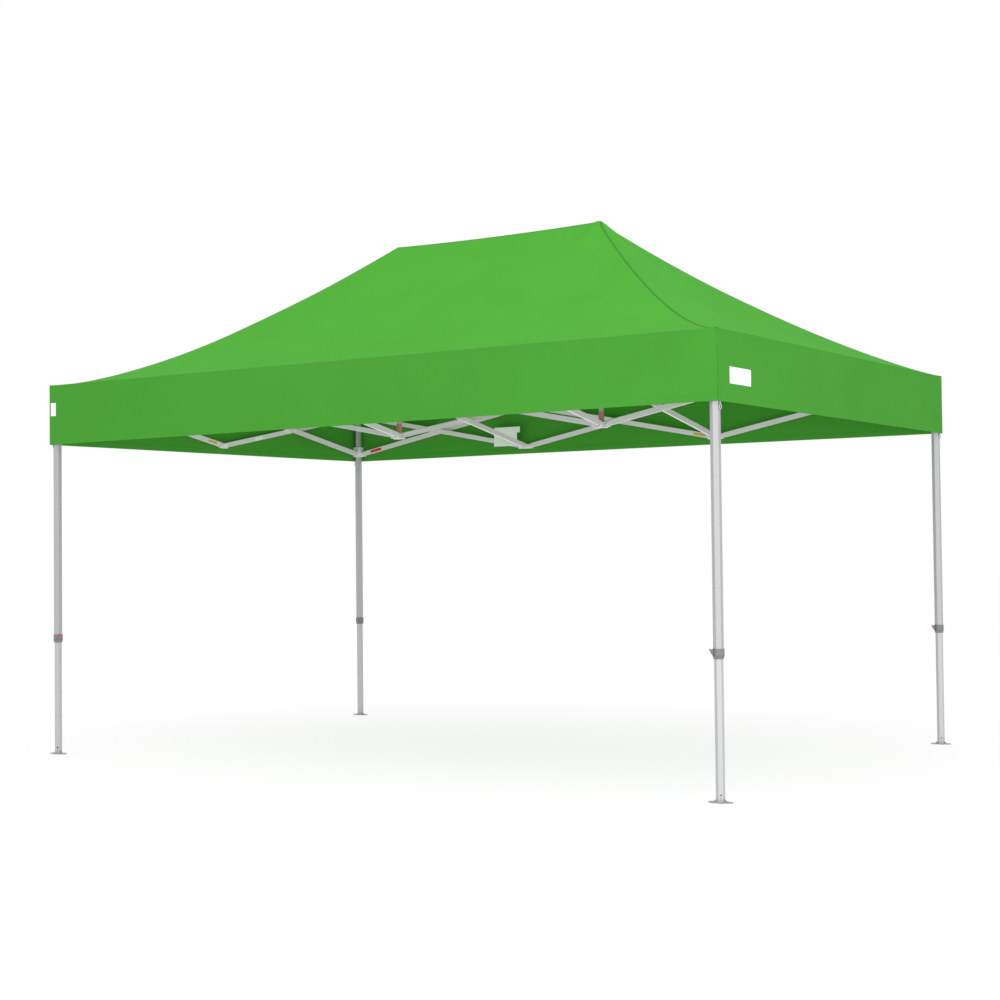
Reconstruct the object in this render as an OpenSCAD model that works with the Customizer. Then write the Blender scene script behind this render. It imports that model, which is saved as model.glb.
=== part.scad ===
// Pop up gazebo: a folding truss frame on four telescopic legs, with a two-peaked canopy.
// Millimetres, +Z up, +X along the long side. The origin is on the ground at the centre.

/* [Frame] */
// Pivot-to-pivot distance across one truss bay, the same in every bay
bay_span = 1420; // [1300:5:1500]
// Height of the upper truss pivots
upper_z = 2230; // [2200:5:2230]
// Height of the lower truss pivots
lower_z = 1955; // [1940:5:1990]

/* [Truss bars] */
// Depth of a bar
bar_depth = 32; // [24:1:32]
// Thickness of a bar
bar_thick = 15; // [12:0.5:15]
// Wall of a bar
bar_wall = 1.5; // [1.2:0.1:2]
// Distance from the truss plane to the middle of each bar
bar_offset = 9; // [8.5:0.25:9]
// Radius of the pivot pins
pin_r = 3; // [2:0.25:3]

/* [Legs] */
// Upper tube across its flats
upper_flats = 44; // [42:0.5:44]
// Wall of the upper tube
upper_wall = 1.8; // [1.5:0.1:2]
// Lower tube across its flats
lower_flats = 38.6; // [36:0.2:38.6]
// Wall of the lower tube
lower_wall = 1.5; // [1.2:0.1:2]
// Height of the lower end of the upper tube
upper_tube_z = 694; // [650:1:720]
// Length of the foot plate
foot_length = 120; // [90:1:125]
// Width of the foot plate
foot_width = 62; // [50:1:70]
// Radius of the ground peg holes
peg_hole_r = 5; // [4:0.5:6]

/* [Canopy] */
// Height of the valance's lower edge
valance_z = 1900; // [1895:1:1900]
// Height of the eave
eave_z = 2255; // [2255:1:2265]
// Height of the two peaks
peak_z = 3157; // [3100:1:3200]
// How far the ridge dips between the peaks
ridge_sag = 10; // [0:1:30]
// Steepness of the concave roof slope, where 1 is straight
roof_curve = 1.45; // [1:0.05:1.6]
// Cloth thickness
cloth = 2; // [1.5:0.1:3]

/* [Peak poles] */
// Radius of the peak pole
pole_r = 15; // [12:0.5:15]
// Wall of the peak pole
pole_wall = 1.5; // [1:0.1:2]

/* [Hidden] */
$fn = 32;
clearance = 0.08; // pin to hole, on the radius
slot_gap = 0.75; // bar to bracket cheek
end_gap = 1; // bar end to bracket core
cheek = 3; // bracket cheek thickness
roof_plate = 3; // plate of a bracket over or under its bar ends
cheek_past = 10; // how far a cheek reaches past the pivots on the open side
head_r = 5.5; // bolt heads and nuts
head_h = 2.5;
fit_gap = 0.1; // between pieces clamped together
tube_top = 15; // top of the upper tube, from the upper pivots

leg_reach = 45; // distance from each kind of node to its pivots
hub_reach = 35;
side_reach_x = 35; // long-side node, along the side
side_reach_in = 40; // long-side node, inwards
end_reach = 30; // short-side node, along the side

bar_end = bar_depth / 2;
slot_w = bar_thick + 2 * slot_gap;
arm_w = slot_w + 2 * cheek;
slot_back = bar_end + end_gap;
arm_h = slot_back + roof_plate;
core_side = bar_offset + arm_w / 2;

node_x1 = bay_span / 2 + hub_reach;
node_x2 = node_x1 + hub_reach + bay_span + leg_reach;
node_y = end_reach + bay_span + leg_reach;
XS = [-node_x2, -node_x1, node_x1, node_x2];
YS = [-node_y, 0, node_y];
bar_length = sqrt(pow(bay_span, 2) + pow(upper_z - lower_z, 2));
bar_slope = atan2(upper_z - lower_z, bay_span);

half_x = node_x2 + 33; // canopy half size in plan
half_y = node_y + 33;
pole_top = peak_z - 32;

// Truss lines: name, direction (0 along X, 1 along Y), index of the line
LINES = [
    ["front", 0, 0],
    ["back", 0, 2],
    ["middle", 0, 1],
    ["left", 1, 0],
    ["right", 1, 3],
    ["cross_left", 1, 1],
    ["cross_right", 1, 2],
];
// A bar of kind "a" starts at an upper node, and one of kind "b" starts at a lower node
function bays(line) = line[1] == 0 ? 3 : 2;
function has_bar(line, bay, kind) = line[0] != "middle" || (bay < 2 ? kind == "a" : kind == "b");
BARS = [
    for (line = LINES)
    for (bay = [0 : bays(line) - 1])
    for (kind = ["a", "b"])
    if (has_bar(line, bay, kind))
    [str("bar_", line[0], "_", bay + 1, "_", kind), line, bay, kind]
];

// Nodes of the truss grid: name, column, row
POSTS = [
    ["front_left", 0, 0],
    ["front_right", 3, 0],
    ["back_left", 0, 2],
    ["back_right", 3, 2],
];
SIDES = [
    ["front_1", 1, 0],
    ["front_2", 2, 0],
    ["back_1", 1, 2],
    ["back_2", 2, 2],
    ["left", 0, 1],
    ["right", 3, 1],
];
HUBS = [
    ["left", 1, 1],
    ["right", 2, 1],
];

function is_end(i) = i == 0 || i == 3;
function reach_x(i) = is_end(i) ? leg_reach : side_reach_x;
function reach_y(i, j) =
    j == 1 ? (is_end(i) ? end_reach : hub_reach)
    : (is_end(i) ? leg_reach : side_reach_in);

// Is there a bar at this node, in this direction and on this side (+1 or -1)?
// A bar that leaves an upper node towards +X or +Y is of kind "a", one that arrives there is "b".
function kind_at(upper, side) = (side > 0) == upper ? "a" : "b";
function arm_here(i, j, upper, dir, side) =
    dir == 0
    ? (side > 0 ? i < 3 : i > 0)
      && (j != 1 || has_bar(LINES[2], side > 0 ? i : i - 1, kind_at(upper, side)))
    : (side > 0 ? j < 2 : j > 0);
// Arms of a node: direction, side, reach
function arms(i, j, upper) = [
    for (dir = [0, 1])
    for (side = [-1, 1])
    if (arm_here(i, j, upper, dir, side))
    [dir, side, dir == 0 ? reach_x(i) : reach_y(i, j)]
];

// Turns an arm drawn along +X to its direction; kind "a" bars lie at -bar_offset, kind "b" at +
module along_arm(arm, upper) {
    turn = arm[0] * 90 + (arm[1] > 0 ? 0 : 180);
    side = kind_at(upper, arm[1]) == "a" ? -1 : 1;
    rotate([0, 0, turn])
        translate([0, side * arm[1] * bar_offset, 0])
            children();
}

module hex_rod(flats, length) {
    rotate([0, 0, 30])
        cylinder(h = length, d = flats / cos(30), $fn = 6);
}

module hex_tube(flats, wall, length) {
    difference() {
        hex_rod(flats, length);
        translate([0, 0, -1])
            hex_rod(flats - 2 * wall, length + 2);
    }
}

module cross_cylinder(r, length) {
    rotate([90, 0, 0])
        cylinder(h = length, r = r, center = true);
}

module arm_block(reach, upper) {
    low = upper ? -cheek_past : -arm_h;
    translate([0, -arm_w / 2, low])
        cube([reach + bar_end, arm_w, cheek_past + arm_h]);
}

module arm_slot(reach, upper) {
    low = upper ? -2 * arm_h : -slot_back;
    translate([reach - slot_back, -slot_w / 2, low])
        cube([4 * bar_end, slot_w, slot_back + 2 * arm_h]);
}

module arm_pin(reach) {
    translate([reach, 0, 0]) {
        cross_cylinder(pin_r, arm_w + 1);
        for (side = [-1, 1])
            translate([0, side * (arm_w / 2 + head_h / 2 - 0.01), 0])
                cross_cylinder(head_r, head_h);
    }
}

// A bracket is its core with an arm for each bar, drawn round the node at pivot height
module bracket(i, j, upper) {
    node_arms = arms(i, j, upper);
    difference() {
        union() {
            children();
            for (arm = node_arms)
                along_arm(arm, upper)
                    arm_block(arm[2], upper);
        }
        for (arm = node_arms)
            along_arm(arm, upper)
                arm_slot(arm[2], upper);
    }
    for (arm = node_arms)
        along_arm(arm, upper)
            arm_pin(arm[2]);
}

module at_node(i, j, upper) {
    translate([XS[i], YS[j], upper ? upper_z : lower_z])
        children();
}

// Which way is outwards from this node, along X and along Y
function out_x(i) = i == 0 ? -1 : i == 3 ? 1 : 0;
function out_y(j) = j - 1;

module side_core(i, j, upper) {
    outer = core_side;
    inner_x = reach_x(i) - slot_back;
    inner_y = reach_y(i, j) - slot_back;
    x0 = out_x(i) < 0 ? -outer : -inner_x;
    x1 = out_x(i) > 0 ? outer : inner_x;
    y0 = out_y(j) < 0 ? -outer : -inner_y;
    y1 = out_y(j) > 0 ? outer : inner_y;
    translate([x0, y0, upper ? -cheek_past : -arm_h])
        cube([x1 - x0, y1 - y0, cheek_past + arm_h]);
}

module side_bracket(s, upper) {
    color("Gainsboro")
        at_node(s[1], s[2], upper)
            bracket(s[1], s[2], upper)
                side_core(s[1], s[2], upper);
}

// Domed core of a hub, with its flange on the closed side
module hub_core(upper) {
    flange_r = 38;
    flange_h = 5;
    dome_r = 35;
    crown_r = 24;
    mirror([0, 0, upper ? 1 : 0]) {
        translate([0, 0, -arm_h])
            cylinder(h = arm_h + 6, r1 = dome_r, r2 = crown_r);
        translate([0, 0, -arm_h - flange_h])
            cylinder(h = flange_h, r = flange_r);
    }
}

module hub_upper(h) {
    bore_gap = 0.6;
    color("Gainsboro")
        at_node(h[1], h[2], true)
            difference() {
                bracket(h[1], h[2], true)
                    hub_core(true);
                cylinder(h = 4 * arm_h, r = pole_r + bore_gap, center = true);
            }
}

socket_floor = -18; // floor of the pole's socket, from the lower pivots
sleeve_low = -6; // foot of the sleeve, from the lower pivots
sleeve_r = pole_r + fit_gap + 1.4;

module peak_pole() {
    foot = lower_z + socket_floor + fit_gap;
    sleeve_h = 77;
    color("Silver")
        translate([0, 0, foot])
            difference() {
                cylinder(h = pole_top - foot, r = pole_r);
                translate([0, 0, -1])
                    cylinder(h = pole_top - foot + 2, r = pole_r - pole_wall);
            }
    color("IndianRed")
        translate([0, 0, lower_z + sleeve_low + fit_gap])
            difference() {
                cylinder(h = sleeve_h, r = sleeve_r);
                translate([0, 0, -1])
                    cylinder(h = sleeve_h + 2, r = pole_r + fit_gap);
            }
    color("Gainsboro")
        translate([0, 0, pole_top + fit_gap])
            cylinder(h = 18, r1 = pole_r, r2 = 5);
}

module hub_lower(h) {
    color("Gainsboro")
        at_node(h[1], h[2], false)
            difference() {
                bracket(h[1], h[2], false)
                    hub_core(false);
                translate([0, 0, socket_floor])
                    cylinder(h = 4 * arm_h, r = pole_r + fit_gap);
                translate([0, 0, sleeve_low])
                    cylinder(h = 4 * arm_h, r = sleeve_r + fit_gap);
            }
    translate([XS[h[1]], YS[h[2]], 0])
        peak_pole();
}

module top_bracket(p) {
    cap_top = 21; // heights from the upper pivots
    skirt = 38;
    half_width = 26;
    half_depth = 28;
    at_node(p[1], p[2], true)
        difference() {
            bracket(p[1], p[2], true)
                translate([-half_width, -half_depth, -skirt])
                    cube([2 * half_width, 2 * half_depth, cap_top + skirt]);
            translate([0, 0, -100])
                hex_rod(upper_flats + 2 * fit_gap, 100 + tube_top + fit_gap);
        }
}

// Collar that clamps the lower tube at its height, with a lever whose red tip leans out
module height_collar(p) {
    collar_z = upper_tube_z - 13;
    collar_h = 48;
    taper_h = 14;
    lever_w = 18;
    lever = [[26, 14], [29, 14], [42, 37], [35, 45], [26, 45]]; // distance out, height
    tip = [[42.2, 37.4], [47, 45], [40, 49], [35.2, 45.4]];
    color("DarkGray")
        difference() {
            union() {
                translate([0, 0, collar_z])
                    cylinder(h = taper_h, r1 = 24.5, r2 = 28);
                translate([0, 0, collar_z + taper_h - 2])
                    hex_rod(49.6, collar_h - taper_h + 2);
                lever_plate(p, collar_z, lever, lever_w);
            }
            translate([0, 0, collar_z - 1])
                hex_rod(lower_flats + 1.6, collar_h + 2);
            translate([0, 0, upper_tube_z - fit_gap])
                hex_rod(upper_flats + 2 * fit_gap, collar_h);
        }
    color("Firebrick")
        lever_plate(p, collar_z, tip, lever_w);
}

// A plate of the lever, from its side view
module lever_plate(p, base_z, side_view, width) {
    rotate([0, 0, out_x(p[1]) < 0 ? -30 : 210])
        translate([0, width / 2, base_z])
            rotate([90, 0, 0])
                linear_extrude(width)
                    polygon(side_view);
}

module leg_upper(p) {
    color("Gainsboro")
        top_bracket(p);
    translate([XS[p[1]], YS[p[2]], 0]) {
        color("Silver")
            translate([0, 0, upper_tube_z])
                hex_tube(upper_flats, upper_wall, upper_z + tube_top - upper_tube_z);
        height_collar(p);
    }
}

// Foot: a plate with a tapered wing on each side, a plug inside the tube and two ribs
module foot_plate() {
    plate_h = 5;
    peg_x = foot_length / 2 - 13;
    middle = 28;
    tip = 12;
    rib_x = lower_flats / 2 + fit_gap;
    outline = [
        [-foot_length / 2, -tip], [-middle, -foot_width / 2], [middle, -foot_width / 2],
        [foot_length / 2, -tip], [foot_length / 2, tip], [middle, foot_width / 2],
        [-middle, foot_width / 2], [-foot_length / 2, tip],
    ];
    difference() {
        union() {
            linear_extrude(plate_h)
                polygon(outline);
            hex_rod(lower_flats - 2 * lower_wall - 2 * fit_gap, 28);
            for (side = [0, 180])
                rotate([90, 0, side])
                    translate([0, 0, -1.5])
                        linear_extrude(3)
                            polygon([[rib_x, 1], [rib_x + 18, 1], [rib_x + 18, 6], [rib_x, 20]]);
        }
        for (sx = [-1, 1])
            translate([sx * peg_x, 0, -1])
                cylinder(h = plate_h + 2, r = peg_hole_r);
    }
}

module leg_lower(p) {
    tube_z = 5 + fit_gap;
    tube_end = 950;
    lock_z = upper_tube_z + 12;
    lock_pitch = 80;
    hole_r = 5;
    translate([XS[p[1]], YS[p[2]], 0]) {
        color("Silver")
            difference() {
                translate([0, 0, tube_z])
                    hex_tube(lower_flats, lower_wall, tube_end - tube_z);
                for (n = [0 : 2])
                    translate([0, 0, lock_z + n * lock_pitch])
                        rotate([0, 90, 0])
                            cylinder(h = 2 * lower_flats, r = hole_r, center = true);
                translate([0, 0, 41])
                    rotate([0, 90, -60])
                        cylinder(h = 2 * lower_flats, r = hole_r, center = true);
            }
        color("Silver")
            foot_plate();
    }
}

// Slider: a block that runs on the upper tube, with a pull ring on its outer side
module slider(p) {
    half_width = 26;
    half_depth = 29;
    step = 3; // the foot of the block is this much narrower
    low = -24;
    shoulder = -6;
    high = 50;
    ring_z = -75;
    ring_r = 11.5;
    wire_r = 2.5;
    strap_w = 9;
    strap_t = 3;
    color("Gainsboro")
        at_node(p[1], p[2], false) {
            difference() {
                bracket(p[1], p[2], false) {
                    translate([-half_width, -half_depth, shoulder])
                        cube([2 * half_width, 2 * half_depth, high - shoulder]);
                    translate([step - half_width, step - half_depth, low])
                        cube([2 * (half_width - step), 2 * (half_depth - step), high - low]);
                }
                translate([0, 0, -100])
                    hex_rod(upper_flats + 1.4, 200);
            }
        }
    color("Silver")
        at_node(p[1], p[2], false)
            rotate([0, 0, out_x(p[1]) > 0 ? 0 : 180])
                translate([half_width + fit_gap + strap_t / 2, 0, 0]) {
                    translate([0, 0, ring_z])
                        rotate([0, 90, 0])
                            rotate_extrude()
                                translate([ring_r, 0])
                                    circle(r = wire_r, $fn = 16);
                    translate([-strap_t / 2, -strap_w / 2, ring_z + ring_r - 1])
                        cube([strap_t, strap_w, 18 - ring_z - ring_r]);
                }
}

// One bar: a rectangular tube with rounded ends, drawn from its first pivot along +X
module bar_body(length) {
    difference() {
        union() {
            translate([0, -bar_thick / 2, -bar_depth / 2])
                cube([length, bar_thick, bar_depth]);
            for (x = [0, length])
                translate([x, 0, 0])
                    cross_cylinder(bar_depth / 2, bar_thick);
        }
        translate([-bar_depth, -bar_thick / 2 + bar_wall, -bar_depth / 2 + bar_wall])
            cube([length + 2 * bar_depth, bar_thick - 2 * bar_wall, bar_depth - 2 * bar_wall]);
        for (x = [0, length])
            translate([x, 0, 0])
                cross_cylinder(pin_r + clearance, 2 * bar_thick);
    }
}

// The centre bolt and its spacer are fixed in the "a" bar and turn in the "b" bar
module centre_bolt() {
    cap_r = 8;
    cap_h = 4;
    spacer_r = 14;
    first = -bar_thick / 2;
    last = 2 * bar_offset + bar_thick / 2;
    spacer = 2 * bar_offset - bar_thick - 0.6;
    translate([0, last + 0.4, 0])
        rotate([90, 0, 0])
            cylinder(h = last - first + 0.4, r = pin_r);
    translate([0, first, 0])
        rotate([90, 0, 0])
            cylinder(h = cap_h, r = cap_r);
    translate([0, last + 0.3 + cap_h, 0])
        rotate([90, 0, 0])
            cylinder(h = cap_h, r = cap_r);
    translate([0, bar_thick / 2 + spacer, 0])
        rotate([90, 0, 0])
            cylinder(h = spacer, r = spacer_r);
}

module bar(b) {
    line = b[1];
    bay = b[2];
    is_a = b[3] == "a";
    along_y = line[1] == 1;
    i = along_y ? line[2] : bay;
    j = along_y ? bay : line[2];
    start = along_y ? YS[j] + reach_y(i, j) : XS[i] + reach_x(i);
    crossed = has_bar(line, bay, "a") && has_bar(line, bay, "b");
    translate([along_y ? XS[i] : start, along_y ? start : YS[j], is_a ? upper_z : lower_z])
        rotate([0, 0, along_y ? 90 : 0])
            translate([0, is_a ? -bar_offset : bar_offset, 0])
                rotate([0, is_a ? bar_slope : -bar_slope, 0])
                    color("Silver")
                        difference() {
                            union() {
                                bar_body(bar_length);
                                if (is_a && crossed)
                                    translate([bar_length / 2, 0, 0])
                                        centre_bolt();
                            }
                            if (!is_a && crossed)
                                translate([bar_length / 2, 0, 0])
                                    cross_cylinder(pin_r + clearance, 2 * bar_thick);
                        }
}

// Canopy: rings of points from the ridge (t = 0) down to the eave (t = 1), then the valance
RINGS = 12;
FIRST_T = 0.006;
LONG_STEPS = 8;
SHORT_STEPS = 4;
RING_SIZE = 2 * (LONG_STEPS + SHORT_STEPS);

function ring_t(k) = FIRST_T + (1 - FIRST_T) * pow(k / (RINGS - 1), 1.2);
function roof_height(x, t) =
    eave_z + (peak_z - eave_z) * pow(1 - t, roof_curve)
    - ridge_sag * (1 - t) * (1 - pow(min(abs(x) / node_x1, 1), 2));
// A point of a rectangle with half sizes a and b, counted round it from the front left corner
function ring_plan(a, b, n) =
    n < LONG_STEPS ? [-a + 2 * a * n / LONG_STEPS, -b]
    : n < LONG_STEPS + SHORT_STEPS ? [a, -b + 2 * b * (n - LONG_STEPS) / SHORT_STEPS]
    : n < 2 * LONG_STEPS + SHORT_STEPS ? [a - 2 * a * (n - LONG_STEPS - SHORT_STEPS) / LONG_STEPS, b]
    : [-a, b - 2 * b * (n - 2 * LONG_STEPS - SHORT_STEPS) / SHORT_STEPS];

function roof_point(k, n) =
    let (t = ring_t(k), p = ring_plan(node_x1 + (half_x - node_x1) * t, half_y * t, n))
    [p[0], p[1], roof_height(p[0], t)];
function valance_point(n) =
    let (p = ring_plan(half_x, half_y, n))
    [p[0], p[1], valance_z];
function inside(p) = [
    p[0] * (half_x - cloth) / half_x,
    p[1] * (half_y - cloth) / half_y,
    p[2] > valance_z ? p[2] - cloth : p[2]
];

// Triangles that close the first ring, which is a thin rectangle along the ridge
function cap_faces() =
    let (corner_right = LONG_STEPS + SHORT_STEPS, corner_left = 2 * LONG_STEPS + SHORT_STEPS)
    concat(
        [
            for (n = [1 : LONG_STEPS - 2])
            for (half = [0, 1])
            half == 0
            ? [n, n + 1, corner_left - n - 1]
            : [n, corner_left - n - 1, corner_left - n]
        ],
        [for (n = [LONG_STEPS : corner_right]) [LONG_STEPS - 1, n, n + 1]],
        [for (n = [corner_left - 1 : RING_SIZE - 1]) [1, n, (n + 1) % RING_SIZE]]
    );

module canopy() {
    outer = concat(
        [for (k = [0 : RINGS - 1]) for (n = [0 : RING_SIZE - 1]) roof_point(k, n)],
        [for (n = [0 : RING_SIZE - 1]) valance_point(n)]
    );
    inner = [for (p = outer) inside(p)];
    count = len(outer);
    last = RINGS * RING_SIZE;
    outer_faces = [
        for (k = [0 : RINGS - 1])
        for (n = [0 : RING_SIZE - 1])
        for (half = [0, 1])
        let (a = k * RING_SIZE + n, b = k * RING_SIZE + (n + 1) % RING_SIZE)
        half == 0 ? [a, b, b + RING_SIZE] : [a, b + RING_SIZE, a + RING_SIZE]
    ];
    inner_faces = [for (f = outer_faces) [f[2] + count, f[1] + count, f[0] + count]];
    rim_faces = [
        for (n = [0 : RING_SIZE - 1])
        for (half = [0, 1])
        let (a = last + n, b = last + (n + 1) % RING_SIZE)
        half == 0 ? [a, b, b + count] : [a, b + count, a + count]
    ];
    cap = cap_faces();
    top_outer = [for (f = cap) [f[2], f[1], f[0]]];
    top_inner = [for (f = cap) f + [count, count, count]];
    color("ForestGreen")
        polyhedron(
            points = concat(outer, inner),
            faces = concat(outer_faces, inner_faces, rim_faces, top_outer, top_inner),
            convexity = 4
        );
}

canopy();
for (p = POSTS) {
    leg_upper(p);
    leg_lower(p);
    slider(p);
}
for (s = SIDES) {
    side_bracket(s, true);
    side_bracket(s, false);
}
for (h = HUBS) {
    hub_upper(h);
    hub_lower(h);
}
for (b = BARS) bar(b);
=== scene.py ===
"""Pop up gazebo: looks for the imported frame. Metres, +X along the long side, +Z up."""

import math

import bpy
import numpy as np
from mathutils import Matrix, Vector


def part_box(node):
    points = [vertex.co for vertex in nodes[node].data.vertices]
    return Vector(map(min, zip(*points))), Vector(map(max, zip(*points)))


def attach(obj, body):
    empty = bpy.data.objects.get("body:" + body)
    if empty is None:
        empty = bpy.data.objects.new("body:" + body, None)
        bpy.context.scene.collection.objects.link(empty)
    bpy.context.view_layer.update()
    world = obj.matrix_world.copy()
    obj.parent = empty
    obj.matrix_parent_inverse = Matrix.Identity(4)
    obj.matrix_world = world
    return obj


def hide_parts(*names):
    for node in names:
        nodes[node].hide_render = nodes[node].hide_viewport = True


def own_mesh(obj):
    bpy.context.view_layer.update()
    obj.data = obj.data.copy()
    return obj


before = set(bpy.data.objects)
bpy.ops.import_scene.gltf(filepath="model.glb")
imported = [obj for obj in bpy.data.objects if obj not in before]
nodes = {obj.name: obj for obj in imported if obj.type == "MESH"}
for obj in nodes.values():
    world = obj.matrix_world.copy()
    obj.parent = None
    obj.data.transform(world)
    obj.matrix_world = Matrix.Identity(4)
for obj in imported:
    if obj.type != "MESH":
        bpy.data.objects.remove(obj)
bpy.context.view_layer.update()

# ---------------------------------------------------------------- layout, from the frame

canopy_low, canopy_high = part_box("canopy")
HALF_X, HALF_Y = canopy_high.x, canopy_high.y
VALANCE_Z = canopy_low.z
MID_X = -(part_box("bar_middle_1_a")[1].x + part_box("bar_middle_2_a")[0].x) / 2
EAVE_Z = 2.255
PEAK_Z = 3.157
SLOPE_RISE = PEAK_Z - EAVE_Z
RIDGE_SAG = 0.010
ROOF_CURVE = 1.45
POST_X = (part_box("leg_lower_front_right")[0].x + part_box("leg_lower_front_right")[1].x) / 2
POST_Y = (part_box("leg_lower_back_right")[0].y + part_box("leg_lower_back_right")[1].y) / 2
BAR_DEPTH = 0.032
UPPER_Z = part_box("bar_middle_1_a")[1].z - BAR_DEPTH / 2
LOWER_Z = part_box("bar_middle_1_a")[0].z + BAR_DEPTH / 2
LEG_REACH, SIDE_REACH, INNER_REACH, END_REACH = 0.045, 0.035, 0.040, 0.030
COLLAR_TOP = 0.7305
FOOT_TOP = 0.0205
TOP_BRACKET_Z = 2.19
SLEEVE_TOP = LOWER_Z + 0.0725
POLE_CAP_Z = 3.126

# ---------------------------------------------------------------- camera, lights, floor

CAMERA_AT = (6.13, -9.222, 1.184)
CAMERA_YAW, CAMERA_PITCH, CAMERA_ROLL = (math.radians(a) for a in (-33.53, 1.75, -0.62))
CAMERA_LENS = 64.98


def make_camera():
    data = bpy.data.cameras.new("camera")
    data.lens = CAMERA_LENS
    data.sensor_width = 36
    camera = bpy.data.objects.new("camera", data)
    bpy.context.scene.collection.objects.link(camera)
    forward = Vector((
        math.sin(CAMERA_YAW) * math.cos(CAMERA_PITCH),
        math.cos(CAMERA_YAW) * math.cos(CAMERA_PITCH),
        math.sin(CAMERA_PITCH),
    ))
    level = Vector((math.cos(CAMERA_YAW), -math.sin(CAMERA_YAW), 0))
    above = level.cross(forward)
    right = level * math.cos(CAMERA_ROLL) + above * math.sin(CAMERA_ROLL)
    up = -level * math.sin(CAMERA_ROLL) + above * math.cos(CAMERA_ROLL)
    turn = Matrix((right, up, -forward)).transposed().to_4x4()
    camera.matrix_world = Matrix.Translation(CAMERA_AT) @ turn
    bpy.context.scene.camera = camera


def area_light(name, at, target, size, power):
    data = bpy.data.lights.new(name, "AREA")
    data.shape = "RECTANGLE"
    data.size, data.size_y = size
    data.energy = power
    light = bpy.data.objects.new(name, data)
    bpy.context.scene.collection.objects.link(light)
    light.location = at
    light.rotation_euler = (Vector(target) - Vector(at)).to_track_quat("-Z", "Y").to_euler()


def make_studio():
    world = bpy.data.worlds.new("studio")
    bpy.context.scene.world = world
    world.use_nodes = True
    background = world.node_tree.nodes["Background"]
    background.inputs["Color"].default_value = (1.0, 1.0, 1.0, 1)
    background.inputs["Strength"].default_value = 1.0
    area_light("key", (2.5, -5, 10), (0, 0, 1.5), (9, 7), 260)
    area_light("fill", (9.5, -9, 1.3), (0, 0, 1.9), (5, 3), 430)
    bpy.context.scene.view_settings.view_transform = "Standard"
    mesh = bpy.data.meshes.new("floor")
    reach = 80
    mesh.from_pydata(
        [(-reach, -reach, 0), (reach, -reach, 0), (reach, reach, 0), (-reach, reach, 0)],
        [],
        [(0, 1, 2, 3)],
    )
    floor = bpy.data.objects.new("floor", mesh)
    bpy.context.scene.collection.objects.link(floor)
    paint = material("floor_paint", (0.25, 0.25, 0.25), 0.9, 0.0, (40, 0.01, 0.0))
    glow = paint.node_tree.nodes["Principled BSDF"]
    glow.inputs["Emission Color"].default_value = (1, 1, 1, 1)
    glow.inputs["Emission Strength"].default_value = 0.75
    glow.inputs["Specular IOR Level"].default_value = 0
    mesh.materials.append(paint)


# ---------------------------------------------------------------- materials


def mottled(mat, colour, change, scale, detail):
    """Gives a material its shader, with a base colour that varies by a share of itself. Returns its nodes."""
    mat.use_nodes = True
    tree = mat.node_tree
    shader = tree.nodes["Principled BSDF"]
    place = tree.nodes.new("ShaderNodeTexCoord")
    noise = tree.nodes.new("ShaderNodeTexNoise")
    noise.inputs["Scale"].default_value = scale
    noise.inputs["Detail"].default_value = detail
    tree.links.new(place.outputs["Object"], noise.inputs["Vector"])
    ramp = tree.nodes.new("ShaderNodeValToRGB")
    ramp.color_ramp.elements[0].position = 0.3
    ramp.color_ramp.elements[1].position = 0.7
    for element, lift in zip(ramp.color_ramp.elements, (1 - change, 1 + change), strict=True):
        element.color = (*(min(c * lift, 1) for c in colour), 1)
    tree.links.new(noise.outputs["Fac"], ramp.inputs["Fac"])
    tree.links.new(ramp.outputs["Color"], shader.inputs["Base Color"])
    return tree, shader, place, noise


def add_bump(tree, shader, height, strength, depth):
    bump = tree.nodes.new("ShaderNodeBump")
    bump.inputs["Strength"].default_value = strength
    bump.inputs["Distance"].default_value = depth
    tree.links.new(height, bump.inputs["Height"])
    tree.links.new(bump.outputs["Normal"], shader.inputs["Normal"])


def material(name, colour, roughness, metallic, grain, coat=0.0):
    """A Principled material. grain is (scale per metre, share of colour change, bump depth in metres)."""
    mat = bpy.data.materials.new(name)
    scale, change, depth = grain
    tree, shader, _, noise = mottled(mat, colour, change, scale, 4)
    shader.inputs["Roughness"].default_value = roughness
    shader.inputs["Metallic"].default_value = metallic
    shader.inputs["Coat Weight"].default_value = coat
    if depth:
        add_bump(tree, shader, noise.outputs["Fac"], 0.5, depth)
    return mat


def cloth_material(name, colour):
    """Matt woven polyester: crossed sets of threads and slow colour changes."""
    mat = bpy.data.materials.new(name)
    tree, shader, place, _ = mottled(mat, colour, 0.03, 2.2, 5)
    shader.inputs["Roughness"].default_value = 0.9
    shader.inputs["Specular IOR Level"].default_value = 0.08
    thread = 0.0012
    heights = []
    for direction in ("X", "Y", "Z"):
        wave = tree.nodes.new("ShaderNodeTexWave")
        wave.wave_type = "BANDS"
        wave.bands_direction = direction
        wave.inputs["Scale"].default_value = 1 / thread / 3.18
        wave.inputs["Distortion"].default_value = 0.4
        wave.inputs["Detail"].default_value = 1
        tree.links.new(place.outputs["Object"], wave.inputs["Vector"])
        heights.append(wave.outputs["Fac"])
    total = heights[0]
    for height in heights[1:]:
        add = tree.nodes.new("ShaderNodeMath")
        add.operation = "ADD"
        tree.links.new(total, add.inputs[0])
        tree.links.new(height, add.inputs[1])
        total = add.outputs[0]
    add_bump(tree, shader, total, 0.25, 0.0002)
    return mat


GREEN = (0.068, 0.352, 0.034)
# painted shade: the hanging sides use a darker copy of the roof's green, standing in for the weaker light
# that falls on them
VALANCE_SHADED_GREEN = (0.0575, 0.291, 0.031)
MATERIALS = {}


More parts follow.
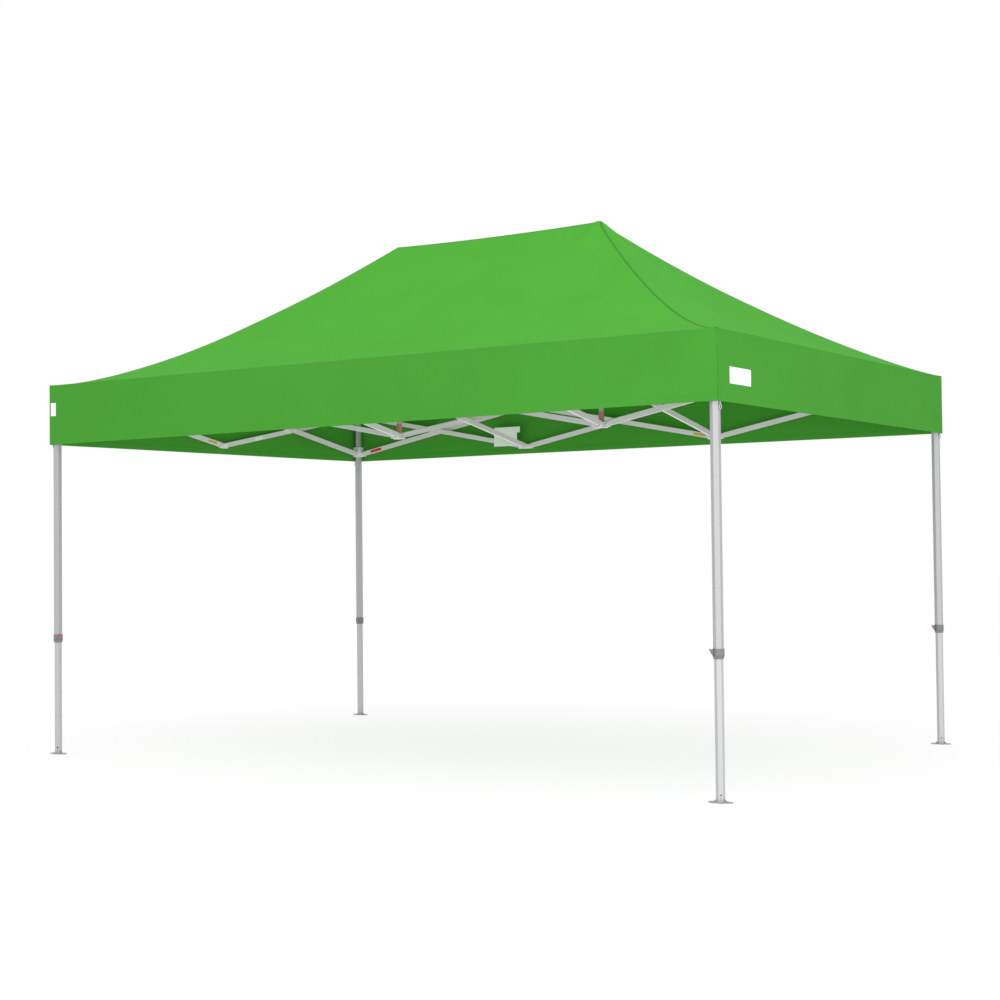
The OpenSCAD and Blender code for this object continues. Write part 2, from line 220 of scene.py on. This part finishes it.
def make_materials():
    MATERIALS.update(
        cloth=cloth_material("green_cloth", GREEN),
        # painted shade: the same cloth as the roof, painted darker for the hanging sides
        valance=cloth_material("green_valance_painted_shade", VALANCE_SHADED_GREEN),
        seam=cloth_material("green_seam", tuple(c * 0.62 for c in GREEN)),
        tape=cloth_material("green_tape", GREEN),
        aluminium=material("satin_aluminium", (0.40, 0.40, 0.41), 0.5, 0.3, (700, 0.03, 0.0001)),
        # painted light: the lower legs get a lighter copy of the legs' aluminium
        inner_tube=material("lower_leg_aluminium_painted_light", (0.46, 0.46, 0.47), 0.5, 0.3, (700, 0.03, 0.0001)),
        # painted light: the truss aluminium is painted lighter and pinker than the legs' metal, against the
        # shade and green light under the canopy
        truss=material("truss_aluminium_painted_light", (0.74, 0.68, 0.74), 0.5, 0.1, (700, 0.03, 0.0001)),
        # painted shade: the foot plates are painted mid grey for the shade on and around them
        foot=material("foot_grey_painted_shade", (0.36, 0.36, 0.37), 0.5, 0.3, (500, 0.04, 0.0002)),
        # light grey nylon, painted lighter and with a pink tint that offsets the shade and green light under
        # the canopy
        nylon=material("light_grey_nylon_painted_light", (0.82, 0.79, 0.82), 0.5, 0.0, (900, 0.03, 0.0002)),
        collar=material("mid_grey_nylon", (0.17, 0.175, 0.18), 0.5, 0.0, (900, 0.04, 0.0002)),
        red=material("red_plastic", (0.68, 0.03, 0.035), 0.35, 0.0, (400, 0.05, 0.0001), coat=0.2),
        sleeve=material("dull_red_sleeve", (0.46, 0.16, 0.16), 0.6, 0.0, (300, 0.08, 0.0002)),
        steel=material("zinc_steel", (0.6, 0.6, 0.61), 0.3, 1.0, (500, 0.05, 0.0001)),
        label=material("blank_label", (0.86, 0.86, 0.85), 0.45, 0.0, (200, 0.02, 0.0001)),
        yellow=material("yellow_label", (0.62, 0.42, 0.03), 0.5, 0.0, (200, 0.03, 0.0001)),
    )


# ---------------------------------------------------------------- canopy shape


def smooth_noise(x, y, seed, length):
    """Slow, repeatable waves of about the given length, from -1 to 1, for arrays x and y."""
    rng = np.random.default_rng(seed)
    total = 0
    for _ in range(6):
        turn = rng.uniform(0, math.tau)
        size = length * rng.uniform(0.6, 1.6)
        phase = rng.uniform(0, math.tau)
        total = total + np.sin((x * math.cos(turn) + y * math.sin(turn)) * math.tau / size + phase)
    return total / 6


def roof_t(x, y):
    """0 at the ridge and 1 at the eave."""
    return np.clip(np.maximum((np.abs(x) - MID_X) / (HALF_X - MID_X), np.abs(y) / HALF_Y), 0, 1)


SLACK = 0.004
SKIN = 0.0006  # how far the cloth's outer face lies under the CAD shell's
CAP_FLAT = 0.018
CAP_SLOPE = 0.82
HIP_LIFT = ((-0.08, 0.0), (0.0, 0.22))  # front and back, on the left hips and then on the right hips


def capped(x, y, under):
    """Rounds the right peak: the cloth lies on the pole's cap and falls evenly from it."""
    r = np.hypot(x - MID_X, y)
    top = PEAK_Z - CAP_SLOPE * np.clip(r - CAP_FLAT, 0, None)
    over = (under + top + np.sqrt((under - top) ** 2 + 0.002**2)) / 2
    share = np.clip((r - 0.12) / 0.25, 0, 1)
    share = share * share * (3 - 2 * share)
    return over * (1 - share) + under * share


def slack(x, y, t):
    """Slow waves of the roof's cloth, none at its top and its eave."""
    return SLACK * np.sin(np.pi * t) * smooth_noise(x, y, 3, 1.1)


def hip_lift(x, y, t):
    """How far the cloth stands above its even slope near each hip, where t runs down the panel."""
    u = np.clip((np.abs(x) - MID_X) / (HALF_X - MID_X), 0, 1)
    v = np.clip(np.abs(y) / HALF_Y, 0, 1)
    left, right = (np.where(y > 0, back, front) for front, back in HIP_LIFT)
    return np.where(x > 0, right, left) * u * v * np.clip(1 - t, 0, None)


def panel_z(x, y, t):
    """Height of one roof panel, where t runs down that panel, also a little past its edges."""
    along = np.minimum(np.abs(x) / MID_X, 1)
    down = np.clip(1 - t, 0, None)
    sag = RIDGE_SAG * down * (1 - along**2)
    shape = EAVE_Z + SLOPE_RISE * down**ROOF_CURVE
    return capped(x, y, shape - sag + slack(x, y, np.clip(t, 0, 1)) + hip_lift(x, y, t) - SKIN)


def roof_z(x, y):
    """Height of the whole roof."""
    return panel_z(x, y, roof_t(x, y))


T_MID = 0.489  # where a bay is cut in two
HALF_BAY_STEPS = 22
ROOF_ROWS = 44
PEAK_CROWD = 1.5


def grid_faces(columns, rows):
    return [
        (c * rows + r, c * rows + r + 1, (c + 1) * rows + r + 1, (c + 1) * rows + r)
        for c in range(columns - 1)
        for r in range(rows - 1)
    ]


def new_mesh_object(name, points, faces, normals, mats=("cloth",), face_mats=None, flip=False):
    """A smooth mesh. Points that coincide are merged, and faces that collapse are dropped."""
    keys, index, kept, kept_normals = {}, [], [], []
    for i, p in enumerate(points):
        key = tuple(round(float(c), 6) for c in p)
        if key not in keys:
            keys[key] = len(kept)
            kept.append([float(c) for c in p])
            kept_normals.append(normals[i])
        index.append(keys[key])
    clean, clean_mats = [], []
    for k, face in enumerate(faces):
        loop = []
        for i in face:
            if index[i] not in loop:
                loop.append(index[i])
        if len(loop) >= 3:
            clean.append(loop[::-1] if flip else loop)
            clean_mats.append(face_mats[k] if face_mats is not None else 0)
    mesh = bpy.data.meshes.new(name)
    mesh.from_pydata(kept, [], clean)
    for m in mats:
        mesh.materials.append(MATERIALS[m])
    mesh.polygons.foreach_set("material_index", clean_mats)
    mesh.polygons.foreach_set("use_smooth", [True] * len(clean))
    mesh.update()
    mesh.normals_split_custom_set_from_vertices([tuple(n) for n in kept_normals])
    made = bpy.data.objects.new(name, mesh)
    bpy.context.scene.collection.objects.link(made)
    return made


def surface_normals(x, y, height, step=0.004):
    """Upward normals of z = height(x, y), by small central differences."""
    dx = (height(x + step, y) - height(x - step, y)) / (2 * step)
    dy = (height(x, y + step) - height(x, y - step)) / (2 * step)
    n = np.stack([-dx, -dy, np.ones_like(dx)], -1)
    return n / np.linalg.norm(n, axis=-1, keepdims=True)


CLOTH = 0.0012  # thickness of the cloth
LABEL = 0.0008  # thickness of a sewn label
LABEL_OUT = 0.0011  # how far a label's face stands out from the cloth's
XM = MID_X + (HALF_X - MID_X) * T_MID
YM = HALF_Y * T_MID
FOLDED_SLOPE = 0.03  # share of the roof's slope left when the frame is folded
FOLDED_RUN = 0.09  # share of the valance's run left when the frame is folded
FOLDED_CLEAR = 0.075  # how far beyond the eave the folded roof gathers, clear of the brackets


def long_panel(side):
    """Height function of the front (side -1) or back (side 1) panel."""
    return lambda x, y: panel_z(x, y, side * y / HALF_Y)


def short_panel(side):
    return lambda x, y: panel_z(x, y, (side * x - MID_X) / (HALF_X - MID_X))


def closed_sheet(name, outer, normals, mats=("cloth",), thickness=CLOTH, face_mats=None):
    """A closed thin sheet from a grid of outer points, shape (columns, rows, 3), and its normals."""
    columns, rows = outer.shape[:2]
    inner = outer - normals * (thickness if np.isscalar(thickness) else thickness[None, :, None])
    count = columns * rows
    faces = grid_faces(columns, rows)
    column, row = columns // 2, rows // 2
    across, down = outer[column - 1, row] - outer[column, row], outer[column, row - 1] - outer[column, row]
    out = np.dot(np.cross(across, down), normals[column, row])
    back = [tuple(i + count for i in f[::-1]) for f in faces]
    ring = (
        [(c0 * rows, (c0 + 1) * rows) for c0 in range(columns - 1)]
        + [((columns - 1) * rows + r, (columns - 1) * rows + r + 1) for r in range(rows - 1)]
        + [((c0 + 1) * rows + rows - 1, c0 * rows + rows - 1) for c0 in range(columns - 2, -1, -1)]
        + [(r + 1, r) for r in range(rows - 2, -1, -1)]
    )
    rim = [(p, q, q + count, p + count) for p, q in ring]
    flip = out > 0
    points = np.concatenate([outer.reshape(-1, 3), inner.reshape(-1, 3)])
    facing = np.concatenate([normals.reshape(-1, 3), -normals.reshape(-1, 3)])
    marks = None
    if face_mats is not None:
        marks = list(face_mats) + list(face_mats) + [0] * len(rim)
    return new_mesh_object(name, points, faces + back + rim, facing, mats, marks, flip)


def sheet_area(points):
    a = points[1:, :-1] - points[:-1, :-1]
    b = points[:-1, 1:] - points[:-1, :-1]
    return float(np.linalg.norm(np.cross(a, b), axis=-1).sum())


def roof_fold(on_long, side):
    """Axis and anchor along which one side of the roof gathers when the frame folds."""
    if on_long:
        slope, eave = Vector((0, -side * HALF_Y, SLOPE_RISE)), Vector((0, side * HALF_Y, EAVE_Z))
    else:
        slope, eave = Vector((side * (MID_X - HALF_X), 0, SLOPE_RISE)), Vector((side * HALF_X, 0, EAVE_Z))
    return tuple(slope), tuple(eave - slope.normalized() * FOLDED_CLEAR)


def half_bay(start, end, peak):
    """Positions over half a bay, closer together towards the peak, if it ends there."""
    step = np.linspace(0, 1, HALF_BAY_STEPS + 1)
    if math.isclose(abs(start), peak):
        return start + (end - start) * step**PEAK_CROWD
    if math.isclose(abs(end), peak):
        return end + (start - end) * step[::-1] ** PEAK_CROWD
    return start + (end - start) * step


def roof_piece(name, body, on_long, side, start, end):
    """One strip of a roof panel between two values along its eave, from its top edge to the eave."""
    along = half_bay(start, end, MID_X if on_long else 0)
    if on_long:
        top = np.clip((np.abs(along) - MID_X) / (HALF_X - MID_X), 0, 1)
    else:
        top = np.abs(along) / HALF_Y
    down = np.linspace(0, 1, ROOF_ROWS) ** PEAK_CROWD
    t = top[:, None] + (1 - top[:, None]) * down[None, :]
    run = np.repeat(along[:, None], ROOF_ROWS, axis=1)
    if on_long:
        x, y, height = run, side * HALF_Y * t, long_panel(side)
    else:
        x, y, height = side * (MID_X + (HALF_X - MID_X) * t), run, short_panel(side)
    points = np.stack([x, y, height(x, y)], -1)
    made = closed_sheet(name, points, surface_normals(x, y, height))
    longest = max(np.linalg.norm(np.diff(points, axis=1), axis=-1).sum(1))
    finish_cloth(made, body, *roof_fold(on_long, side), FOLDED_SLOPE)
    return made, (abs(end - start), float(longest)), sheet_area(points)


def finish_cloth(made, body, axis, anchor, keep):
    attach(made, body)
    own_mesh(made)
    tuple(axis)
    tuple(anchor)
    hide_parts("canopy")


SEAM_HALF = 0.0065
SEAM_LIFT = 0.0012


def seam_strip(name, body, line, across, heights, side):
    """A sewn strip over a crease: line is its points in plan, across the direction over the crease."""
    rows = []
    for offset, height in zip((-SEAM_HALF, -SEAM_HALF / 2, SEAM_HALF / 2, SEAM_HALF), heights, strict=True):
        plan = line + across * offset
        lift = SEAM_LIFT if abs(offset) < SEAM_HALF else SEAM_LIFT / 3
        rows.append(np.stack([plan[:, 0], plan[:, 1], height(plan[:, 0], plan[:, 1]) + lift], -1))
    outer = np.stack(rows, 1)
    sides = np.gradient(outer, axis=1)
    lengths = np.gradient(outer, axis=0)
    normals = np.cross(lengths, sides)
    normals *= np.sign(normals[..., 2:3])
    normals /= np.linalg.norm(normals, axis=-1, keepdims=True)
    made = closed_sheet(name, outer, normals, ("seam",), 0.001)
    finish_cloth(made, body, *roof_fold(True, side), FOLDED_SLOPE)
    return made


def hip_seam(name, body, side_x, side_y, t0, t1):
    t = half_bay(t0, t1, 0)
    line = np.stack([side_x * (MID_X + (HALF_X - MID_X) * t), side_y * HALF_Y * t], -1)
    across = np.array([side_x, -side_y]) / math.sqrt(2)
    long_z, short_z = long_panel(side_y), short_panel(side_x)
    return seam_strip(name, body, line, across, (long_z, long_z, short_z, short_z), side_y)


def ridge_seam(name, body, start, end):
    run = half_bay(start, end, MID_X)
    line = np.stack([run, np.zeros_like(run)], -1)
    front, back = long_panel(-1), long_panel(1)
    across = np.array([0.0, 1.0])
    return seam_strip(name, body, line, across, (front, front, back, back), -1)


VALANCE_DROP = EAVE_Z - VALANCE_Z
HEM = 0.030
CORNER_SEAM = 0.008
STITCH_DEPTH = 0.0007
STITCHED_LEVELS = (3, 24)  # the rows of a hanging side on the eave's and the hem's stitch lines
HEM_LIFT = ((-0.010, 0.0), (0.006, 0.003))  # front and back, at the left end and then at the right end


def hem_lift(x, y):
    """How far the hem hangs above its even height, from corner to corner."""
    u, v = (x / HALF_X + 1) / 2, (y / HALF_Y + 1) / 2
    left = HEM_LIFT[0][0] * (1 - v) + HEM_LIFT[0][1] * v
    right = HEM_LIFT[1][0] * (1 - v) + HEM_LIFT[1][1] * v
    return left * (1 - u) + right * u


def valance_bulge(run, z, half_run, seed):
    """How far the hanging cloth stands out from its plane: long soft waves, more of them near the hem."""
    down = (EAVE_Z - z) / VALANCE_DROP
    from_corner = np.clip((half_run - np.abs(run)) / 0.25, 0, 1)
    hold = from_corner * from_corner * (3 - 2 * from_corner)
    waves = 0.0035 * down * smooth_noise(run, z * 0.3, seed, 0.9)
    creases = 0.0012 * np.sin(np.pi * np.clip(down, 0, 1)) * smooth_noise(run * 0.25, z, seed + 9, 0.075)
    return hold * (waves + creases) + 0.0008 * hold


def valance_surface(run, z, on_long, side, groove=0.0):
    """Outer points and normals of a hanging side, for arrays of distances along it and heights."""
    half_run, half_out = (HALF_X, HALF_Y) if on_long else (HALF_Y, HALF_X)
    out = valance_bulge(run, z, half_run, 20 + side + 3 * on_long) - groove
    slope = np.gradient(out, axis=0) / np.gradient(run, axis=0)
    lean = np.gradient(out, axis=1) / np.gradient(z, axis=1)
    ones = np.ones_like(slope)
    if on_long:
        points = np.stack([run, side * (half_out + out), z], -1)
        normals = np.stack([-slope, side * ones, -lean], -1)
    else:
        points = np.stack([side * (half_out + out), run, z], -1)
        normals = np.stack([side * ones, -slope, -lean], -1)
    return points, normals / np.linalg.norm(normals, axis=-1, keepdims=True)


def valance_fold(on_long, side, node_at):
    """Axis and anchor along which a hanging side gathers when the frame folds."""
    if on_long:
        return (1, 0, 0), (node_at, side * HALF_Y, EAVE_Z)
    return (0, 1, 0), (side * HALF_X, node_at, EAVE_Z)


def valance_piece(name, body, on_long, side, start, end, node_at):
    steps = max(8, round(abs(end - start) / 0.03))
    along = np.linspace(start, end, steps + 1)
    stitch = VALANCE_Z + HEM
    levels = np.concatenate([
        np.linspace(EAVE_Z - SKIN, EAVE_Z - 0.012, 3),
        [EAVE_Z - 0.0135, EAVE_Z - 0.015],
        np.linspace(EAVE_Z - 0.03, stitch + 0.01, 18),
        [stitch + 0.0025, stitch + 0.001, stitch - 0.0005],
        np.linspace(stitch - 0.006, VALANCE_Z, 4),
    ])
    grooves = STITCH_DEPTH * np.isin(np.arange(len(levels)), STITCHED_LEVELS)
    run, z = np.meshgrid(along, levels, indexing="ij")
    lift = hem_lift(run, side * HALF_Y) if on_long else hem_lift(side * HALF_X, run)
    z = EAVE_Z - (EAVE_Z - z) * (1 - lift / VALANCE_DROP)
    points, normals = valance_surface(run, z, on_long, side, grooves[None, :])
    thickness = np.where(levels <= stitch, 2.6 * CLOTH, CLOTH)
    half_run = HALF_X if on_long else HALF_Y
    marks = []
    for c in range(steps):
        middle = abs(along[c] + along[c + 1]) / 2
        marks += [1 if middle > half_run - CORNER_SEAM else 0] * (len(levels) - 1)
    # painted shade: the hanging cloth takes the darker copy of the roof's green
    made = closed_sheet(name, points, normals, ("valance", "tape"), thickness, marks)
    finish_cloth(made, body, *valance_fold(on_long, side, node_at), FOLDED_RUN)
    return made, (abs(end - start), VALANCE_DROP)


def valance_label(name, body, on_long, side, start, end, low, high, node_at):
    """A blank label sewn on a hanging side, which follows its waves."""
    run, z = np.meshgrid(np.linspace(start, end, 12), np.linspace(high, low, 8), indexing="ij")
    points, normals = valance_surface(run, z, on_long, side, -LABEL_OUT)
    made = closed_sheet(name, points, normals, ("label",), LABEL)
    axis, anchor = valance_fold(on_long, side, node_at)
    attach(made, body)
    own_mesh(made)
    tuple(axis)
    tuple(anchor)


PATCH_R = 0.05
PATCH_LIFT = 0.0006


def peak_patch(name, hand):
    """The doubled cloth over one peak. It rides on the pole."""
    rings = np.linspace(0, PATCH_R, 12)
    turns = np.linspace(0, math.tau, 61)
    r, turn = np.meshgrid(rings, turns, indexing="ij")
    x, y = hand * MID_X + r * np.cos(turn), r * np.sin(turn)
    z = roof_z(x, y) + PATCH_LIFT
    outer = np.stack([x, y, z], -1)
    normals = surface_normals(x, y, roof_z, 0.02)
    inner = outer - (0, 0, CLOTH)
    rows, columns = r.shape
    count = rows * columns
    faces = [
        (a * columns + b, (a + 1) * columns + b, (a + 1) * columns + b + 1, a * columns + b + 1)
        for a in range(rows - 1)
        for b in range(columns - 1)
    ]
    back = [tuple(i + count for i in f[::-1]) for f in faces]
    last = (rows - 1) * columns
    rim = [(last + b, last + b + count, last + b + 1 + count, last + b + 1) for b in range(columns - 1)]
    points = np.concatenate([outer.reshape(-1, 3), inner.reshape(-1, 3)])
    facing = np.concatenate([normals.reshape(-1, 3), -normals.reshape(-1, 3)])
    made = new_mesh_object(name, points, faces + back + rim, facing)
    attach(made, f"hub_lower_{'left' if hand < 0 else 'right'}")
    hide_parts("canopy")
    return made


def make_canopy():
    cuts = (-HALF_X, -XM, -MID_X, 0, MID_X, XM, HALF_X)
    for word, side in (("front", -1), ("back", 1)):
        for k, (start, end) in enumerate(zip(cuts, cuts[1:], strict=False)):
            bay, half = k // 2 + 1, "ab"[k % 2]
            body = f"bar_{word}_{bay}_{half}"
            name = f"roof_{word}_{bay}_{half}"
            made, flat, area = roof_piece(name, body, True, side, start, end)
            seams = []
            if bay != 2:
                hand = -1 if bay == 1 else 1
                outer = (bay == 1) == (half == "a")
                t0, t1 = (T_MID, 1) if outer else (0, T_MID)
                seams = [hip_seam(f"hip_seam_{word}_{bay}_{half}", body, hand, side, t0, t1)]
            elif side < 0:
                hand = -1 if half == "a" else 1
                seams = [
                    ridge_seam(f"ridge_seam_{half}", body, start, end),
                    peak_patch(f"peak_patch_{half}", hand),
                ]
    cuts = (-HALF_Y, -YM, 0, YM, HALF_Y)
    for word, side in (("left", -1), ("right", 1)):
        for k, (start, end) in enumerate(zip(cuts, cuts[1:], strict=False)):
            bay, half = k // 2 + 1, "ab"[k % 2]
            body = f"bar_{word}_{bay}_{half}"
            made, flat, area = roof_piece(f"roof_{word}_{bay}_{half}", body, False, side, start, end)
    for word, side in (("front", -1), ("back", 1)):
        spans = (
            ("left", f"leg_upper_{word}_left", -HALF_X, -XM, -POST_X),
            ("1", f"bracket_upper_{word}_1", -XM, 0, -MID_X),
            ("2", f"bracket_upper_{word}_2", 0, XM, MID_X),
            ("right", f"leg_upper_{word}_right", XM, HALF_X, POST_X),
        )
        for end_word, body, start, end, node_at in spans:
            made, flat = valance_piece(f"valance_{word}_{end_word}", body, True, side, start, end, node_at)
    for word, side in (("left", -1), ("right", 1)):
        spans = (
            ("front", f"leg_upper_front_{word}", -HALF_Y, -YM, -POST_Y),
            ("middle", f"bracket_upper_{word}", -YM, YM, 0),
            ("back", f"leg_upper_back_{word}", YM, HALF_Y, POST_Y),
        )
        for end_word, body, start, end, node_at in spans:
            made, flat = valance_piece(f"valance_{word}_{end_word}", body, False, side, start, end, node_at)


# ---------------------------------------------------------------- frame materials


def dress_node(name, mats, pick=None):
    """Gives a CAD node its materials; pick maps a face to a material's index."""
    mesh = nodes[name].data
    mesh.materials.clear()
    for m in mats:
        mesh.materials.append(MATERIALS[m])
    if pick:
        mesh.polygons.foreach_set("material_index", [pick(p) for p in mesh.polygons])


PIN_AREA = 1.2e-4  # bolt heads' faces are smaller than this, in square metres
SPACER_AREA = 6.3e-4
HEAD_REACH = 0.0062  # from a pivot to the middle of any face of its bolt head
SPACER_REACH = 0.0145
TIP_OUT, TIP_LOW, TIP_HIGH = 0.036, 0.7183, 0.731  # the lever's red tip, from the tube's axis and the ground
RING_BELOW = 0.055  # the slider's ring hangs this far below the pivots
SLIDER_SIDE = 0.02605  # the slider's latch pin stands out past this
SLEEVE_R = 0.0172


def is_bolt(face, at, pivot_z, reaches):
    """Is this a face of a bolt head or pin at one of a bracket's pivots?"""
    if face.area > PIN_AREA:
        return False
    up = face.center.z - pivot_z
    for way, reach in ((0, reaches[0]), (1, reaches[1])):
        if math.hypot(abs(face.center[way] - at[way]) - reach, up) < HEAD_REACH:
            return True
    return False


def dress_bar(name, is_x):
    low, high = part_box(name)
    middle = (low + high) / 2

    def pick(face):
        along = face.center.x - middle.x if is_x else face.center.y - middle.y
        near = math.hypot(along, face.center.z - middle.z) < SPACER_REACH
        return 1 if near and face.area < SPACER_AREA else 0

    # painted light: the bars' aluminium and the spacers' nylon are painted lighter and pinker, against the
    # shade and green light under the canopy
    dress_node(name, ["truss", "nylon"], pick)


def dress_leg(name):
    hand = -1 if "left" in name else 1
    post = (hand * POST_X, POST_Y if "back" in name else -POST_Y)

    def pick(face):
        out = math.hypot(face.center.x - post[0], face.center.y - post[1])
        if is_bolt(face, post, UPPER_Z, (LEG_REACH, LEG_REACH)):
            return 4
        if out > TIP_OUT and TIP_LOW < face.center.z < TIP_HIGH:
            return 3
        if face.center.z < COLLAR_TOP:
            return 2
        return 1 if face.center.z > TOP_BRACKET_Z else 0

    dress_node(name, ["aluminium", "nylon", "collar", "red", "steel"], pick)


def dress_slider(name):
    hand = -1 if "left" in name else 1
    post = (hand * POST_X, POST_Y if "back" in name else -POST_Y)

    def pick(face):
        out = hand * face.center.x - POST_X
        ring = face.center.z < LOWER_Z - RING_BELOW or out > SLIDER_SIDE
        return 1 if ring or is_bolt(face, post, LOWER_Z, (LEG_REACH, LEG_REACH)) else 0

    dress_node(name, ["nylon", "steel"], pick)


def dress_bracket(name, pivot_z):
    column = name.split("_", 2)[2]
    if column in ("left", "right"):
        at, reaches = ((-POST_X if column == "left" else POST_X), 0), (SIDE_REACH, END_REACH)
    else:
        row, number = column.split("_")
        at = (-MID_X if number == "1" else MID_X, -POST_Y if row == "front" else POST_Y)
        reaches = (SIDE_REACH, INNER_REACH)
    dress_node(name, ["nylon", "steel"], lambda f: int(is_bolt(f, at, pivot_z, reaches)))


def dress_hub(name, pivot_z):
    hub_x = -MID_X if name.endswith("left") else MID_X

    def pick(face):
        out = math.hypot(face.center.x - hub_x, face.center.y)
        if is_bolt(face, (hub_x, 0), pivot_z, (SIDE_REACH, SIDE_REACH)):
            return 3
        if pivot_z == LOWER_Z and out < SLEEVE_R:
            if face.center.z > POLE_CAP_Z:
                return 0
            return 1 if face.center.z > SLEEVE_TOP else 2
        return 0

    dress_node(name, ["nylon", "aluminium", "sleeve", "steel"], pick)


def dress_frame():
    for name in nodes:
        if name.startswith("bar_"):
            line = name.split("_")[1]
            dress_bar(name, line in ("front", "back", "middle"))
        elif name.startswith("leg_upper"):
            dress_leg(name)
        elif name.startswith("slider"):
            dress_slider(name)
        elif name.startswith("bracket"):
            dress_bracket(name, UPPER_Z if "upper" in name else LOWER_Z)
        elif name.startswith("hub"):
            dress_hub(name, UPPER_Z if "upper" in name else LOWER_Z)
        # painted light: the lower legs take the lighter copy of the aluminium
        elif name.startswith("leg_lower"):
            # painted shade: faces below FOOT_TOP, the foot plates, take the darker foot grey
            dress_node(name, ["inner_tube", "foot"], lambda f: int(f.center.z < FOOT_TOP))


# ---------------------------------------------------------------- labels and the card


def slab(name, body, centre, along, facing, size, mat):
    """A thin rectangular label: size is its length, height and thickness; its back face is at centre."""
    along, facing = Vector(along).normalized(), Vector(facing)
    up = facing.cross(along)
    length, height, thick = size
    points = [
        Vector(centre) + along * (length * u) + up * (height * v) + facing * w
        for w in (0, thick)
        for u, v in ((-0.5, -0.5), (0.5, -0.5), (0.5, 0.5), (-0.5, 0.5))
    ]
    faces = [(3, 2, 1, 0), (4, 5, 6, 7), (0, 1, 5, 4), (1, 2, 6, 5), (2, 3, 7, 6), (3, 0, 4, 7)]
    mesh = bpy.data.meshes.new(name)
    mesh.from_pydata([tuple(p) for p in points], [], faces)
    mesh.materials.append(MATERIALS[mat])
    made = bpy.data.objects.new(name, mesh)
    bpy.context.scene.collection.objects.link(made)
    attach(made, body)


STICKER = 0.0006  # thickness of a sticker


def bar_sticker(name, bar, at, length, height, mat):
    """A plain sticker on a bar's front or right face, centred at this x or y."""
    low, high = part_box(bar)
    is_x = bar.split("_")[1] in ("front", "back", "middle")
    run = (high.x - low.x if is_x else high.y - low.y) - BAR_DEPTH
    rise = high.z - low.z - BAR_DEPTH
    falls = -1 if bar.endswith("_a") else 1
    middle = (low + high) / 2
    size = (length, height, STICKER)
    if is_x:
        centre = (at, low.y + bar_face_in(bar), middle.z + falls * (at - middle.x) * rise / run)
        slab(name, bar, centre, (run, 0, falls * rise), (0, -1, 0), size, mat)
    else:
        centre = (high.x - bar_face_in(bar), at, middle.z + falls * (at - middle.y) * rise / run)
        slab(name, bar, centre, (0, run, falls * rise), (1, 0, 0), size, mat)


def bar_face_in(bar):
    """How far a bar's near face is inside its box: the centre bolt and spacer stand out from "a" bars."""
    return 0.004 if bar.endswith("_a") else 0.0


def make_labels():
    bar_sticker("sticker_left_1", "bar_left_1_a", -0.12, 0.085, 0.016, "yellow")
    bar_sticker("sticker_left_2", "bar_left_2_b", 0.37, 0.085, 0.022, "label")
    bar_sticker("sticker_back_1", "bar_back_1_b", -2.08, 0.10, 0.020, "red")
    bar_sticker("sticker_back_2", "bar_back_2_a", 0.632, 0.085, 0.016, "yellow")
    valance_label("label_right", "leg_upper_front_right", False, 1, -1.403, -1.17, 1.997, 2.079, -POST_Y)
    start = -HALF_X + 0.012
    valance_label("label_front", "leg_upper_front_left", True, -1, start, -2.222, 2.065, 2.145, -POST_X)
    bar, along, facing = "bar_back_1_a", (1, 0, 0), (0, -1, 0)
    card_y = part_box(bar)[0].y - 0.0005
    slab("card", bar, (-0.905, card_y, 2.022), along, facing, (0.195, 0.13, LABEL), "label")
    slab("card_flap", bar, (-0.889, card_y - 0.002, 2.071), along, facing, (0.215, 0.042, LABEL), "label")


# ---------------------------------------------------------------- build

make_camera()
make_materials()
make_studio()
make_canopy()
dress_frame()
make_labels()
